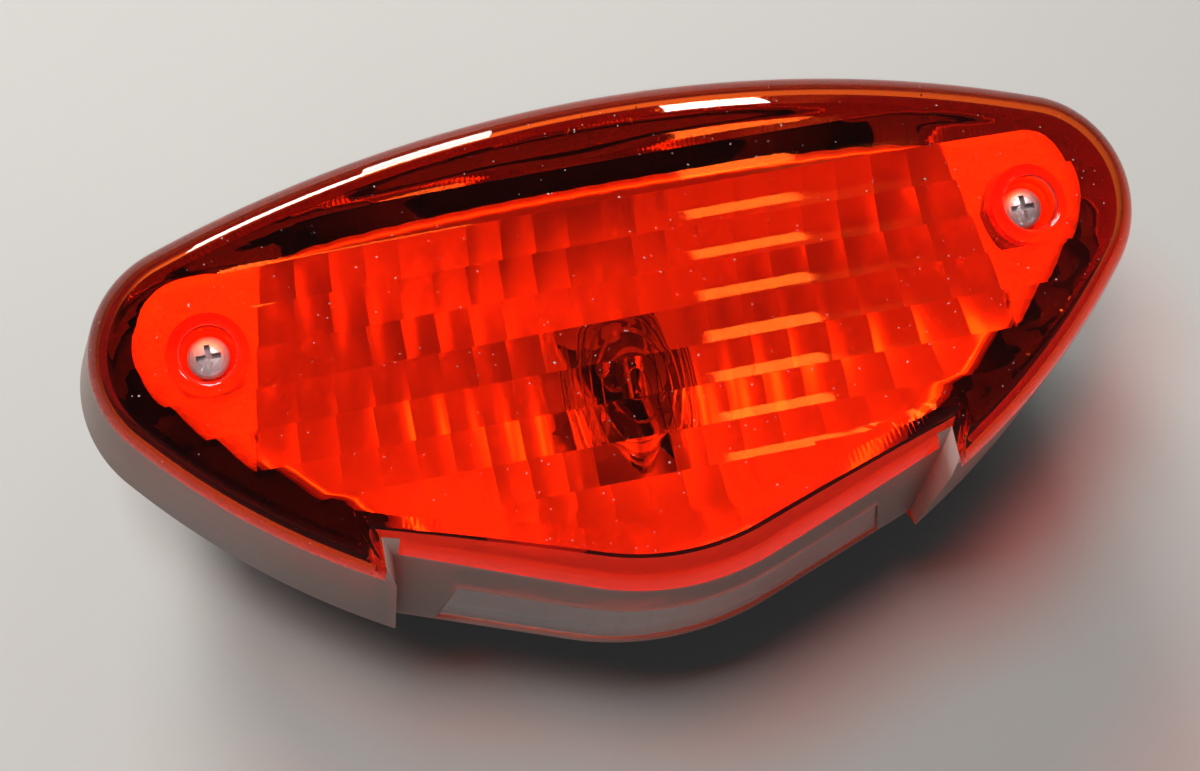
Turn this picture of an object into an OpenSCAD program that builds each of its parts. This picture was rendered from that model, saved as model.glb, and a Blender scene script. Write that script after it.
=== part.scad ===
// Rear stop lamp of a scooter: a red moulded cover on a black tray, with a twin-filament bulb,
// its bayonet holder and a silvered reflector. The lamp lies on its back, with the cover upward.
// X runs along the lamp's width, Y is the lamp's own up direction, and Z leaves through the cover.
// The origin lies midway between the two upper fixing spacers, on the plane of their faces, and the
// reference line is the X axis through it.

/* [Lens] */
// Width of the cover across its front edge
lens_w = 195; // [185:1:205]
// Rise of the top edge above the reference line, at the front
top_rise = 38.3; // [36:0.1:41]
// Radius of the long top edge
top_r = 274; // [250:2:330]
// Radius of the two ends at the front
end_r = 20.3; // [18:0.1:23]
// Radius of the lower flanks at the front
flank_r = 140; // [120:2:170]
// Turn of each end before the flank begins
end_turn = 40; // [36:0.5:44]
// Depth of the skirt from the front to its back edge
skirt_h = 42; // [38:0.5:46]
// Outward lean of the skirt along the top
lean_top = 2.5; // [1:0.1:4]
// Outward lean of the skirt at the two ends
lean_end = 4; // [2:0.1:6]
// Extra width of the flank radius at the back edge
lean_flank = 20; // [10:1:30]
// Wall thickness of the skirt
lens_wall = 2.5; // [2:0.1:3]
// Thickness of the front
front_t = 2.7; // [2.2:0.1:3.2]
// Radius of the bow of the front across the width
bow_x = 600; // [500:10:1000]
// Radius of the bow of the front over the height
bow_y = 900; // [700:10:1500]
// Radius of the shoulder between front and skirt
rim_round = 3.4; // [3.2:0.1:4]

/* [Bulge] */
// Half width of the lower bulge, out to the notches
notch_x = 51.5; // [48:0.5:54]
// Drop of the bulge below the reference line, at the front
bulge_drop = 50; // [48:0.1:52]
// Outward lean of the bulge
lean_bulge = 9.8; // [8:0.1:11]
// Radius of the middle of the bulge at the front
bulge_r = 48; // [42:1:60]
// Step from the bulge out to the flank at the notch, at the front
notch_step = 6.1; // [4:0.1:8]
// Step at the notch, at the skirt's back edge
notch_step_back = 3; // [2:0.1:4]
// Radius of the broad shoulder in the middle of the bulge
bulge_round = 9.5; // [8:0.1:11]
// Radius of the broad shoulder beside the notches
bulge_round_end = 5.5; // [4.5:0.1:7]

/* [Flutes] */
// Number of flutes across the inside of the front
flutes = 13; // [13:1:15]
// Height of each flute
flute_h = 7.2; // [7:0.1:8]
// Depth of the flutes
flute_depth = 1.1; // [0.6:0.1:1.4]
// Drop of the lowest flute's edge below the reference line
flute_low = 52.9; // [50:0.1:56]

/* [Window] */
// Half length of the clear window at its upper edge
window_x = 40; // [34:0.5:42]
// Slant of each end of the window
window_slant = 3.5; // [0:0.1:5]
// Distance from the front to the window
window_down = 21; // [19:0.1:23]
// Width of the red edge left below the window
window_edge = 1.1; // [1:0.1:3]
// Depth of the window face below the red skin
window_sunk = 0.4; // [0.2:0.05:0.7]

/* [Wells] */
// Distance of each screw from the middle
well_x = 76.5; // [74:0.5:79]
// Height of the screws above the reference line
well_y = 5.3; // [3:0.1:8]
// Diameter of the well at its mouth
well_d = 10.4; // [9.8:0.1:11.5]
// Diameter of the well tube
well_tube_d = 15; // [14:0.1:16.5]
// Depth of the screw seat below the front's crest
well_seat = 13; // [12:0.1:14]
// Thickness of the well's floor
well_floor = 2.8; // [2.2:0.1:3]

/* [Screws] */
// Diameter of the screw head
head_d = 7.7; // [7:0.1:8.4]
// Height of the screw head
head_h = 2.8; // [2.4:0.1:3.2]
// Diameter of the screw shank
shank_d = 4; // [3.5:0.1:4.2]
// Length of the screw below its head
shank_l = 28; // [20:1:36]
// Side clearance of the shank in the tray's boss
shank_play = 0.05; // [0.05:0.01:0.15]

/* [Tray] */
// Height of the rear spacers that the lamp stands on
foot_h = 18; // [17:0.5:22]
// Depth of the tray behind the cover
tray_h = 28; // [26:0.5:32]
// Wall thickness of the tray
tray_wall = 2.2; // [1.8:0.1:2.6]
// Inset of the tray's mouth from the edge of the cover
tray_inset = 7; // [6:0.5:9]
// Draft of the tray from its mouth to its floor
tray_draft = 6; // [3:0.5:8]
// Thickness of the flange under the cover
flange_t = 2; // [1.6:0.1:3]
// Inset of the flange from the edge of the cover
flange_inset = 1; // [0.6:0.1:1.6]
// Height of the sloping lower edge of the tray
foot_slope = 2.5; // [1.5:0.1:4]
// Height of the upstand inside the cover
upstand_h = 7; // [4:0.5:9]
// Thickness of the rubber seal
seal_t = 1.2; // [1:0.1:2]
// Diameter of the bosses for the cover screws
boss_d = 9; // [8:0.1:10]

/* [Mounting] */
// Distance between the two upper fixings
fix_span = 120; // [110:1:130]
// Drop of the lower fixing below the reference line
fix_low = 36; // [33:0.5:37]
// Diameter of the fixing spacers
spacer_d = 12; // [11:0.1:14]
// Diameter of the spacer's spigot in the floor of the tray
spigot_d = 8; // [7.8:0.1:9]
// Diameter of the threaded insert
insert_d = 7; // [6.5:0.1:8]
// Length of the threaded insert
insert_l = 10; // [8:0.5:12]
// Diameter of the hole in the insert
insert_bore = 4.2; // [4.2:0.1:5]

/* [Reflector] */
// Gap between the reflector and the cover's edge at the ends
ref_gap_end = 8; // [7:0.1:10]
// Gap between the reflector and the cover's edge along the top
ref_gap_top = 16.5; // [14:0.1:18]
// Gap between the reflector and the bulge
ref_gap_low = 5.5; // [5:0.1:7]
// Half width of the dish along its upper edge
dish_x = 64; // [60:0.5:65]
// Spread of the dish from its upper to its lower edge
dish_fan = 7.5; // [5:0.1:9]
// Depth of the dish
dish_depth = 33; // [28:0.5:35]
// Number of columns over the dish
columns = 20; // [16:2:24]
// Depth of the scallop of each column
scallop = 0.7; // [0.3:0.05:1]
// Thickness of the reflector
ref_t = 1.7; // [1.4:0.1:2.2]
// Radius of the reflector's ends
ref_end_r = 13; // [11:0.5:15]
// Radius of the reflector's top edge
ref_top_r = 1200; // [900:50:1500]

/* [Bulb] */
// Distance of the bulb below the reference line
bulb_drop = 13; // [11:0.5:15]
// Height of the lower pin above the tray's outer floor
pin_up = 7.5; // [7:0.1:9]
// Diameter of the glass
glass_d = 26.5; // [24:0.1:27]
// Length from the lower pin to the tip
bulb_l = 42.5; // [40:0.5:44]
// Diameter of the brass cap
cap_d = 15; // [14.6:0.1:15.2]
// Length of the pins beyond the cap
pin_out = 1.9; // [1.6:0.1:2.1]
// Diameter of the pins
pin_d = 2; // [1.8:0.1:2.2]
// Offset in height between the two pins
pin_step = 3; // [2.6:0.1:3.4]
// Length of the cap below the lower pin
cap_tail = 6.2; // [5.6:0.1:7]
// Length of the cap above the lower pin
cap_head = 12.5; // [11:0.1:14]
// Height of the filaments above the lower pin
filament_up = 31.8; // [30:0.1:33]
// Wall thickness of the glass
glass_t = 0.8; // [0.6:0.05:1]

/* [Holder] */
// Side clearance between cap and holder
cap_play = 0.1; // [0.08:0.01:0.2]
// Wall thickness of the holder
holder_t = 0.8; // [0.7:0.05:1]
// Turn that frees the bulb
bulb_turn = 25; // [22:1:28]
// Travel of the bulb as it is pressed and turned
press = 2; // [1.6:0.1:2.2]
// Diameter of the holder's flange
holder_flange_d = 30; // [28:0.5:32]
// Height of the holder above the upper pin
holder_lip = 4; // [3:0.1:5]
// Distance of the rivets from the edge of the flange
rivet_in = 3; // [2.8:0.1:3.4]
// Diameter of the spring wire
wire_d = 0.9; // [0.7:0.05:1.1]
// Turns of the spring
coils = 4; // [3:1:4]
// Length of the spring under the contact plate
spring_l = 7.2; // [6.8:0.1:8]

/* [Hidden] */
$fn = 64;

// Overlap of joined forms, and length of cuts beyond the faces that they pass
e = 0.01;
over = 1;

// Clearances
screw_room = 0.8;
head_room = 0.6;
glass_room = 1.5;
slot_play = 0.25;
seat_play = 0.3;
seal_gap = 0.4;
insert_room = 0.6;
spigot_play = 0.05;

// Small forms of the cover, the tray and the reflector
front_cy = -5;
notch_slant = 0.4;
mouth_step = 0.4;
upstand_t = 1.8;
corner_in = 1.2;
land_lap = 1;
stake_d = 10.4;
stake_t = 1;
flute_root = 0.6;

// Small forms of the holder
contact_h = 1.3;
tip_h = 0.8;
tip_d = 3.2;
plate_t = 2.5;
back_t = 2;
rivet_d = 3;
rivet_head_t = 0.8;
contact_x = 3.2;
blade_w = 4.8;
blade_t = 0.8;
shell_foot_t = 1;
stalk_d = 1.6;

// Small forms of the bulb
cap_t = 0.5;
stem_rise = 2;
stem_r = 2.4;
pinch_r = 4.7;
pinch_h = 4;
lead_y = 3.3;
lead_r = 0.3;
tail_x = 2.8;
glass_seat = 3.5;
neck_play = 0.4;

// Heights of the cover, the tray and the reflector
skirt_z = foot_h + tray_h;
lens_h = skirt_z + skirt_h;
seat_z = lens_h - well_seat;
land_z = seat_z - well_floor;
window_top = lens_h - window_down;
window_bottom = skirt_z + window_edge;
seal_z = skirt_z - seal_t;
flange_z = seal_z - flange_t;
floor_z = foot_h + tray_wall;
boss_top = land_z - ref_t;

// Heights and radii of the bulb and its holder
pin_z = foot_h + pin_up;
glass_tip = pin_z + bulb_l;
filament_z = pin_z + filament_up;
cap_z = pin_z - cap_tail;
cap_top = pin_z + cap_head;
contact_z = cap_z - contact_h;
plate_z = contact_z - tip_h - plate_t;
spring_z = plate_z - spring_l;
back_z = spring_z - back_t;
holder_top = pin_z + pin_step + pin_d / 2 + holder_lip;
glass_foot = cap_z + glass_seat;
stem_top = cap_top + stem_rise;
holder_r = cap_d / 2 + cap_play + holder_t;
rivet_x = holder_flange_d / 2 - rivet_in;
neck_r = cap_d / 2 - cap_t - neck_play;

// Counts of steps along each part of the outline's quarters
n_top = 16;
n_end = 10;
n_low = 5;
n_flank = 6;
n_bulge = n_top + n_end - n_low - n_flank - 1;
quarter = n_top + n_end;
ring_n = 4 * quarter;
bulge_from = n_top + n_end + n_low + n_flank + 1;

// Outlines of the cover at its front and at the skirt's back edge
front_slope = slope_to_notch(lens_w / 2, top_rise, top_r, end_r, flank_r, bulge_drop, bulge_r, notch_step);
back_w = lens_w / 2 + lean_end;
back_top = top_rise + lean_top;
back_top_r = top_r + lean_top;
back_end_r = end_r + lean_end;
back_flank_r = flank_r + lean_flank;
back_drop = bulge_drop + lean_bulge;
back_bulge_r = bulge_r + lean_bulge;
back_slope = slope_to_notch(
    back_w, back_top, back_top_r, back_end_r, back_flank_r, back_drop, back_bulge_r, notch_step_back);
front_ring = whole_ring(half_outline(
    lens_w / 2, top_rise, top_r, end_r, flank_r, bulge_drop, bulge_r, notch_x, front_slope));
back_ring = back_inset(0);
front_out = outward(front_ring);
back_out = outward(back_ring);

// Outline of the reflector, which follows the cover's, moved inward by its gaps
ref_drop = bulge_drop - ref_gap_low;
ref_high = top_rise - ref_gap_top;
ref_outline = whole_ring(half_outline(
    lens_w / 2 - ref_gap_end, ref_high, ref_top_r, ref_end_r, flank_r - ref_gap_end, ref_drop,
    bulge_r - ref_gap_low, notch_x, front_slope));
dish_low_x = dish_x + dish_fan;
dish_corner = outline_y(ref_outline, dish_low_x) + corner_in;

function mix(a, b, t) = a + (b - a) * t;
function on_circle(c, r, a) = [c[0] + r * cos(a), c[1] + r * sin(a)];

// Line of the bulge at a place across the width: an arc in the middle, then straight slopes
function bulge_y(x, drop, r, slope) =
    abs(x) < r * sin(slope)
    ? -drop + r - sqrt(r * r - x * x)
    : -drop + r - r * cos(slope) + (abs(x) - r * sin(slope)) * tan(slope);

// Centres of the end's arc and of the flank's arc
function end_centre(hw, ty, tr, er) =
    let (a = asin((hw - er) / (tr - er)))
    [hw - er, ty - tr + (tr - er) * cos(a)];
function flank_centre(end_c, er, fr) = end_c + (fr - er) * [-cos(end_turn), sin(end_turn)];

// Slope with which the bulge's line reaches the notch a step inside the flank's end
function slope_to_notch(hw, ty, tr, er, fr, drop, br, step_h) =
    let (
        c = flank_centre(end_centre(hw, ty, tr, er), er, fr),
        x = notch_x - notch_slant,
        rise = c[1] - sqrt(fr * fr - pow(notch_x - c[0], 2)) + step_h + drop - br
    )
    atan2(rise, x) + asin(br / norm([x, rise]));

// Right half of the cover's outline, from the middle of the top to the middle of the bulge. Its step
// lies at the notch, or just short of the place where the flank meets the line of the bulge
function half_outline(hw, ty, tr, er, fr, drop, br, notch, slope) =
    let (
        a1 = asin((hw - er) / (tr - er)),
        c2 = end_centre(hw, ty, tr, er),
        c3 = flank_centre(c2, er, fr),
        off = (c3[1] + drop - br - c3[0] * tan(slope)) * cos(slope) + br,
        cross = c3[0] + off * sin(slope) + sqrt(fr * fr - off * off) * cos(slope),
        step = min(notch, cross - notch_slant),
        stop = acos((step - c3[0]) / fr)
    )
    concat(
        [for (i = [0 : n_top - 1]) on_circle([0, ty - tr], tr, 90 - a1 * i / n_top)],
        [for (i = [0 : n_end - 1]) on_circle(c2, er, (90 - a1) * (1 - i / n_end))],
        [for (i = [0 : n_low - 1]) on_circle(c2, er, -end_turn * i / n_low)],
        [for (i = [0 : n_flank]) on_circle(c3, fr, -mix(end_turn, stop, i / n_flank))],
        [for (i = [0 : n_bulge])
            let (x = (step - notch_slant) * (1 - i / n_bulge))
            [x, bulge_y(x, drop, br, slope)]]
    );

function whole_ring(half) =
    [for (i = [0 : ring_n - 1]) i <= 2 * quarter ? half[i] : [-half[ring_n - i][0], half[ring_n - i][1]]];

// Outward direction at each point, long enough to carry both neighbouring edges outward by one
function outward(ring) =
    [for (i = [0 : len(ring) - 1])
        let (
            p = ring[i],
            q0 = p - ring[(i + len(ring) - 1) % len(ring)],
            q1 = ring[(i + 1) % len(ring)] - p,
            a = [-q0[1], q0[0]] / norm(q0),
            b = [-q1[1], q1[0]] / norm(q1)
        )
        (a + b) / (1 + a * b)];

// The cover's outline at its back edge, moved inward
function back_inset(d) = whole_ring(half_outline(
    back_w - d, back_top - d, back_top_r - d, back_end_r - d, back_flank_r - d, back_drop - d,
    back_bulge_r - d, notch_x + d, back_slope));

function front_z(p) =
    lens_h - p[0] * p[0] / (2 * bow_x) - (p[1] - front_cy) * (p[1] - front_cy) / (2 * bow_y);

// Shoulder radius, broad over the bulge
function shoulder(i) =
    let (j = i <= 2 * quarter ? i : ring_n - i)
    j < bulge_from ? rim_round
    : bulge_round - (bulge_round - bulge_round_end) * pow(front_ring[j][0] / notch_x, 2);

// Point of the cover's wall at a height, moved inward
function wall_point(i, z, inset) =
    let (top = front_z(front_ring[i]), t = (top - z) / (top - skirt_z))
    mix(front_ring[i] - front_out[i] * inset, back_ring[i] - back_out[i] * inset, t);

function ring_at(z, inset) = [for (i = [0 : ring_n - 1]) wall_point(i, z, inset)];

// One ring of the shoulder: turn is 0 at the wall and 90 at the front
function shoulder_ring(turn, inset, sunk) =
    [for (i = [0 : ring_n - 1])
        let (
            r = max(shoulder(i) - inset, 0.8),
            top = front_z(front_ring[i] - front_out[i] * (inset + r)) - sunk,
            z = top - r * (1 - sin(turn)),
            p = wall_point(i, z, inset + r * (1 - cos(turn)))
        )
        [p[0], p[1], turn == 90 ? front_z(p) - sunk : z]];

// Closed solid of the cover's outer or inner form: a straight lead below the skirt's back edge,
// rings up the skirt, then a bowed front
module cover_form(inset, sunk, lead, turns, rows) {
    back = ring_at(skirt_z, inset);
    rings = concat(
        [for (down = [lead, 0]) [for (p = back) [p[0], p[1], skirt_z - down]]],
        [for (t = turns) shoulder_ring(t, inset, sunk)]);
    levels = len(rings);
    last = rings[levels - 1];
    inner = [for (j = [1 : 2 * quarter - 1]) for (k = [1 : rows - 1])
        let (a = last[(3 * quarter + j) % ring_n], b = last[3 * quarter - j], p = mix(a, b, k / rows))
        [p[0], p[1], front_z(p) - sunk]];
    points = concat([for (r = rings) for (p = r) p], inner);
    first_inner = levels * ring_n;
    side = [for (l = [0 : levels - 2]) for (i = [0 : ring_n - 1])
        let (a = l * ring_n + i, b = l * ring_n + (i + 1) % ring_n)
        each [[a, b, b + ring_n], [a, b + ring_n, a + ring_n]]];
    cap = [for (j = [0 : 2 * quarter - 1]) for (k = [0 : rows - 1])
        let (
            a = cap_index(j, k, rows, levels, first_inner),
            b = cap_index(j + 1, k, rows, levels, first_inner),
            c = cap_index(j + 1, k + 1, rows, levels, first_inner),
            d = cap_index(j, k + 1, rows, levels, first_inner)
        )
        each [if (a != b && b != c && a != c) [a, b, c], if (a != c && c != d && a != d) [a, c, d]]];
    bottom = [[for (i = [ring_n - 1 : -1 : 0]) i]];
    polyhedron(points, concat(side, cap, bottom), convexity = 8);
}

// Number of a point of the front: the edge of the front is the last ring
function cap_index(j, k, rows, levels, first_inner) =
    j == 0 ? (levels - 1) * ring_n + 3 * quarter
    : j == 2 * quarter ? (levels - 1) * ring_n + quarter
    : k == 0 ? (levels - 1) * ring_n + (3 * quarter + j) % ring_n
    : k == rows ? (levels - 1) * ring_n + 3 * quarter - j
    : first_inner + (j - 1) * (rows - 1) + k - 1;

// Straight-sided closed form through a list of rings, each at its own height
module stacked(rings, heights) {
    n = len(rings[0]);
    points = [for (l = [0 : len(rings) - 1]) for (p = rings[l]) [p[0], p[1], heights[l]]];
    side = [for (l = [0 : len(rings) - 2]) for (i = [0 : n - 1])
        let (a = l * n + i, b = l * n + (i + 1) % n)
        each [[a, b, b + n], [a, b + n, a + n]]];
    bottom = [for (i = [n - 1 : -1 : 0]) i];
    top = [for (i = [0 : n - 1]) (len(rings) - 1) * n + i];
    polyhedron(points, concat(side, [bottom, top]), convexity = 8);
}

// Flat ring between two insets of the cover's back outline
module outline_band(outer, inner, z, h) {
    translate([0, 0, z]) linear_extrude(h) difference() {
        polygon(back_inset(outer));
        polygon(back_inset(inner));
    }
}

module both_sides() {
    for (side = [-1, 1]) translate([side * well_x, well_y, 0]) children();
}

// Wall of the bulge at a place and height, moved inward
function bulge_wall(x, z, inset) =
    let (
        y0 = bulge_y(x, bulge_drop, bulge_r, front_slope),
        y1 = bulge_y(x, back_drop, back_bulge_r, back_slope),
        top = front_z([x, y0])
    )
    mix(y0, y1, (top - z) / (top - skirt_z)) + inset;

// Curved bar along the bulge: the window, or the opening cut for it
module window_bar(outer, inner) {
    n = 16;
    points = [for (i = [0 : n])
        let (u = 2 * i / n - 1, xt = window_x * u, xb = (window_x + window_slant) * u)
        each [
            [xb, bulge_wall(xb, window_bottom, outer), window_bottom],
            [xt, bulge_wall(xt, window_top, outer), window_top],
            [xt, bulge_wall(xt, window_top, inner), window_top],
            [xb, bulge_wall(xb, window_bottom, inner), window_bottom]
        ]];
    side = [for (i = [0 : n - 1]) for (k = [0 : 3])
        let (a = 4 * i + k, b = 4 * i + (k + 1) % 4)
        each [[a, b, b + 4], [a, b + 4, a + 4]]];
    polyhedron(points, concat(side, [[3, 2, 1, 0], [4 * n, 4 * n + 1, 4 * n + 2, 4 * n + 3]]), convexity = 4);
}

// Block with a fluted, bowed face that limits the hollow of the cover toward the front
module fluted_block() {
    spread = 26;
    steps = 4;
    back_r = bow_x - lens_h;
    face = [for (i = [0 : flutes * steps])
        let (t = 2 * (i % steps) / steps - 1, y = flute_h * i / steps - flute_low)
        [bow_x - front_t - flute_depth * (1 - t * t) - pow(y - front_cy, 2) / (2 * bow_y), y]];
    translate([0, 0, lens_h - bow_x]) rotate([-90, 0, 0]) rotate(-90 - spread / 2)
        rotate_extrude(angle = spread, $fn = 360) polygon(concat(
            [[back_r, -lens_w], [face[0][0], -lens_w]], face,
            [[face[len(face) - 1][0], lens_w], [back_r, lens_w]]));
}

module lens() {
    sunk = front_t - flute_root;
    well_top = front_z([well_x + well_tube_d / 2, well_y]) - e;
    color([0.75, 0.06, 0.02]) difference() {
        union() {
            difference() {
                cover_form(0, 0, over, [0, 22.5, 45, 67.5, 90], 5);
                intersection() {
                    cover_form(lens_wall, sunk, 2 * over, [0, 45, 90], 3);
                    fluted_block();
                }
                window_bar(-2 * over, 2 * lens_wall);
                translate([-lens_w, -lens_w, skirt_z - 2 * over]) cube([2 * lens_w, 2 * lens_w, 2 * over]);
            }
            both_sides() translate([0, 0, land_z]) cylinder(d = well_tube_d, h = well_top - land_z);
        }
        both_sides() {
            translate([0, 0, seat_z]) cylinder(d = head_d + 2 * head_room, h = lens_h);
            translate([0, 0, seat_z + head_h + mouth_step]) cylinder(d = well_d, h = lens_h);
            translate([0, 0, land_z - over]) cylinder(d = shank_d + screw_room, h = lens_h);
        }
    }
}

module plate_window() {
    color([0.9, 0.88, 0.88]) window_bar(window_sunk, lens_wall);
}

module lens_screws() {
    point_l = shank_d / 2;
    slot_w = 1;
    color([0.8, 0.8, 0.78]) both_sides() translate([0, 0, seat_z]) difference() {
        rotate_extrude() polygon(concat(
            [[0, -shank_l], [shank_d / 2, point_l - shank_l], [shank_d / 2, 0], [head_d / 2, 0]],
            [for (a = [0 : 15 : 90]) [head_d / 2 * cos(a), head_h * (0.4 + 0.6 * sin(a))]]));
        for (turn = [0, 90]) rotate(turn)
            translate([-head_d * 0.29, -slot_w / 2, head_h * 0.35]) cube([head_d * 0.58, slot_w, head_h]);
    }
}

module lens_seal() {
    color([0.06, 0.06, 0.06]) outline_band(flange_inset, lens_wall + seal_gap, seal_z, seal_t);
}

module fixing_places() {
    for (side = [-1, 1]) translate([side * fix_span / 2, 0, 0]) children();
    translate([0, -fix_low, 0]) children();
}

module tray() {
    upstand_in = lens_wall + seal_gap + upstand_h * lean_bulge / skirt_h;
    mouth = back_inset(tray_inset);
    mouth_in = back_inset(tray_inset + tray_wall);
    foot = tray_inset + tray_draft;
    flange_mid = flange_z + flange_t / 2;
    color([0.1, 0.1, 0.11]) difference() {
        union() {
            outline_band(upstand_in, upstand_in + upstand_t, flange_mid, flange_t / 2 + upstand_h);
            difference() {
                union() {
                    outline_band(flange_inset, tray_inset + tray_wall + over, flange_z, flange_t);
                    stacked([back_inset(foot + tray_wall), back_inset(foot), mouth, mouth],
                        [foot_h, foot_h + foot_slope, flange_z, flange_mid]);
                }
                stacked([back_inset(foot + tray_wall), mouth_in, mouth_in], [floor_z, flange_z, skirt_z]);
            }
            both_sides() translate([0, 0, floor_z - over])
                cylinder(d = boss_d, h = boss_top - floor_z + over);
        }
        both_sides() translate([0, 0, seat_z - shank_l - over])
            cylinder(d = shank_d + 2 * shank_play, h = lens_h);
        fixing_places() cylinder(d = spigot_d + 2 * spigot_play, h = lens_h);
        at_bulb() cylinder(r = holder_r + seat_play, h = lens_h);
        rivet_places() cylinder(d = rivet_d, h = lens_h);
    }
}

// Spacers under the tray, each held by the staked head of its spigot
module fixing_spacers() {
    color([0.1, 0.1, 0.11]) fixing_places() difference() {
        union() {
            cylinder(d = spacer_d, h = foot_h);
            cylinder(d = spigot_d, h = floor_z + e);
            translate([0, 0, floor_z]) cylinder(d = stake_d, h = stake_t);
        }
        translate([0, 0, -over]) cylinder(d = insert_d, h = insert_l + insert_room + over);
    }
}

module threaded_inserts() {
    color([0.8, 0.65, 0.3]) fixing_places() difference() {
        cylinder(d = insert_d, h = insert_l);
        translate([0, 0, -over]) cylinder(d = insert_bore, h = insert_l + 2 * over);
    }
}

function ref_top(x) = ref_high - x * x / (2 * ref_top_r);

// Lower edge of the reflector, from the flank of its outline to the middle of the bulge
function ref_low(x) = mix(-ref_drop, dish_corner, pow(abs(x) / dish_low_x, 1.7));

// Height of the lower side of a ring at a place across the width
function outline_y(ring, x) =
    [for (i = [quarter : 2 * quarter - 1])
        if (ring[i][0] >= x && ring[i + 1][0] < x)
            mix(ring[i][1], ring[i + 1][1], (ring[i][0] - x) / (ring[i][0] - ring[i + 1][0]))][0];

// Depth of the dish: u runs across and w upward, both from -1 to 1
function dish(u, w) =
    abs(w) >= 1 || abs(u) >= 1 ? 0
    : dish_depth * (1 - pow(abs(u), 2.4)) * (1 - pow(abs(w), 2.6));

// Point of the dish's face; the ridges between the columns stand up by the scallop
function dish_point(u, w, ridge) =
    let (
        xt = dish_x * u,
        xb = dish_low_x * u,
        v = (w + 1) / 2,
        d = dish(u, w)
    )
    [mix(xb, xt, v), mix(ref_low(xb), ref_top(xt), v), land_z - d + ridge * scallop * min(1, d / 3)];

// Sheet through rows of points, with its underside straight below it
module sheet(rows, t) {
    n = len(rows) - 1;
    m = len(rows[0]);
    low = (n + 1) * m;
    points = concat([for (r = rows) for (p = r) p], [for (r = rows) for (p = r) p - [0, 0, t]]);
    faces = concat(
        [for (i = [0 : n - 1]) for (j = [0 : m - 2])
            let (a = i * m + j, b = a + m)
            each [[a, a + 1, b + 1], [a, b + 1, b],
                [low + a, low + b + 1, low + a + 1], [low + a, low + b, low + b + 1]]],
        [for (i = [0 : n - 1])
            let (a = i * m, b = a + m, c = a + m - 1, d = b + m - 1)
            each [[a, b, low + b], [a, low + b, low + a], [c, low + d, d], [c, low + c, low + d]]],
        [for (j = [0 : m - 2])
            let (a = j, b = n * m + j)
            each [[a, low + a + 1, a + 1], [a, low + a, low + a + 1],
                [b, b + 1, low + b + 1], [b, low + b + 1, low + b]]]
    );
    polyhedron(points, faces, convexity = 10);
}

module dish_form() {
    steps = 3;
    nu = columns * steps;
    levels = [-1.05, -1, -0.85, -0.62, -0.32, 0, 0.32, 0.62, 0.85, 1, 1.05];
    rows = [for (i = [0 : nu]) [for (w = levels) dish_point(2 * i / nu - 1, w, i % steps == 0 ? 1 : 0)]];
    sheet(rows, ref_t);
}

// Flat land at one end of the reflector, from the dish's side outward
module end_land() {
    translate([0, 0, land_z - ref_t]) linear_extrude(ref_t) difference() {
        polygon(ref_outline);
        polygon([
            [-lens_w, lens_w], [dish_x - land_lap, lens_w], [dish_x - land_lap, ref_high],
            [dish_low_x - land_lap, dish_corner], [dish_low_x - land_lap, -lens_w],
            [-lens_w, -lens_w]
        ]);
    }
}

module reflector() {
    color([0.8, 0.8, 0.8]) difference() {
        union() {
            dish_form();
            end_land();
            mirror([1, 0, 0]) end_land();
        }
        both_sides() translate([0, 0, land_z - ref_t - over])
            cylinder(d = shank_d + screw_room, h = ref_t + 2 * over);
        at_bulb() cylinder(d = glass_d + 2 * glass_room, h = lens_h);
    }
}

module at_bulb() {
    translate([0, -bulb_drop, 0]) children();
}

// Bayonet slot for a pin at one height: a catch at rest, a sloping lip, then the way out
module pin_slot(z) {
    r = pin_d / 2 + slot_play;
    side = (holder_r - holder_t / 2) * sin(bulb_turn / 2);
    slope = atan(press / (2 * side));
    lip = r / cos(slope) - press * (2 * side - r) / (2 * side);
    rotate(bulb_turn / 2) translate([cap_d / 2 - over, 0, z]) rotate([90, 0, 90])
        linear_extrude(2 * pin_out) polygon(concat(
            [for (i = [0 : 4]) let (a = mix(90 - slope, 180, i / 4)) [r * cos(a) - side, r * sin(a)]],
            [for (a = [180 : 30 : 270]) [r * cos(a) - side, r * sin(a) - press]],
            [for (a = [270 : 30 : 360]) [r * cos(a) + side, r * sin(a) - press]],
            [[side + r, holder_top], [side - r, holder_top], [side - r, lip]]));
}

module rivet_places() {
    at_bulb() for (side = [-1, 1]) translate([side * rivet_x, 0, 0]) children();
}

module holder_shell() {
    color([0.75, 0.75, 0.7]) difference() {
        at_bulb() union() {
            translate([0, 0, back_z]) cylinder(r = holder_r, h = holder_top - back_z);
            translate([0, 0, floor_z]) cylinder(d = holder_flange_d, h = shell_foot_t);
        }
        at_bulb() translate([0, 0, back_z - over]) cylinder(r = holder_r - holder_t, h = lens_h);
        at_bulb() pin_slot(pin_z);
        at_bulb() rotate(180) pin_slot(pin_z + pin_step);
        rivet_places() cylinder(d = rivet_d, h = lens_h);
    }
}

module holder_rivets() {
    low = foot_h - blade_t;
    high = floor_z + shell_foot_t;
    color([0.7, 0.7, 0.68]) rivet_places() {
        translate([0, 0, low - rivet_head_t]) cylinder(d = rivet_d + 2, h = rivet_head_t);
        translate([0, 0, low - e]) cylinder(d = rivet_d - 0.1, h = high - low + 2 * e);
        translate([0, 0, high]) cylinder(d = rivet_d + 2, h = rivet_head_t);
    }
}

module blade_places() {
    at_bulb() for (side = [-1, 1]) translate([side * contact_x, 0, 0]) children();
}

module holder_back() {
    color([0.25, 0.2, 0.15]) difference() {
        at_bulb() translate([0, 0, back_z]) cylinder(r = holder_r - holder_t, h = back_t);
        blade_places() translate([-blade_t / 2, -blade_w / 2, back_z - over])
            cube([blade_t, blade_w, back_t + 2 * over]);
    }
}

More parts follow.
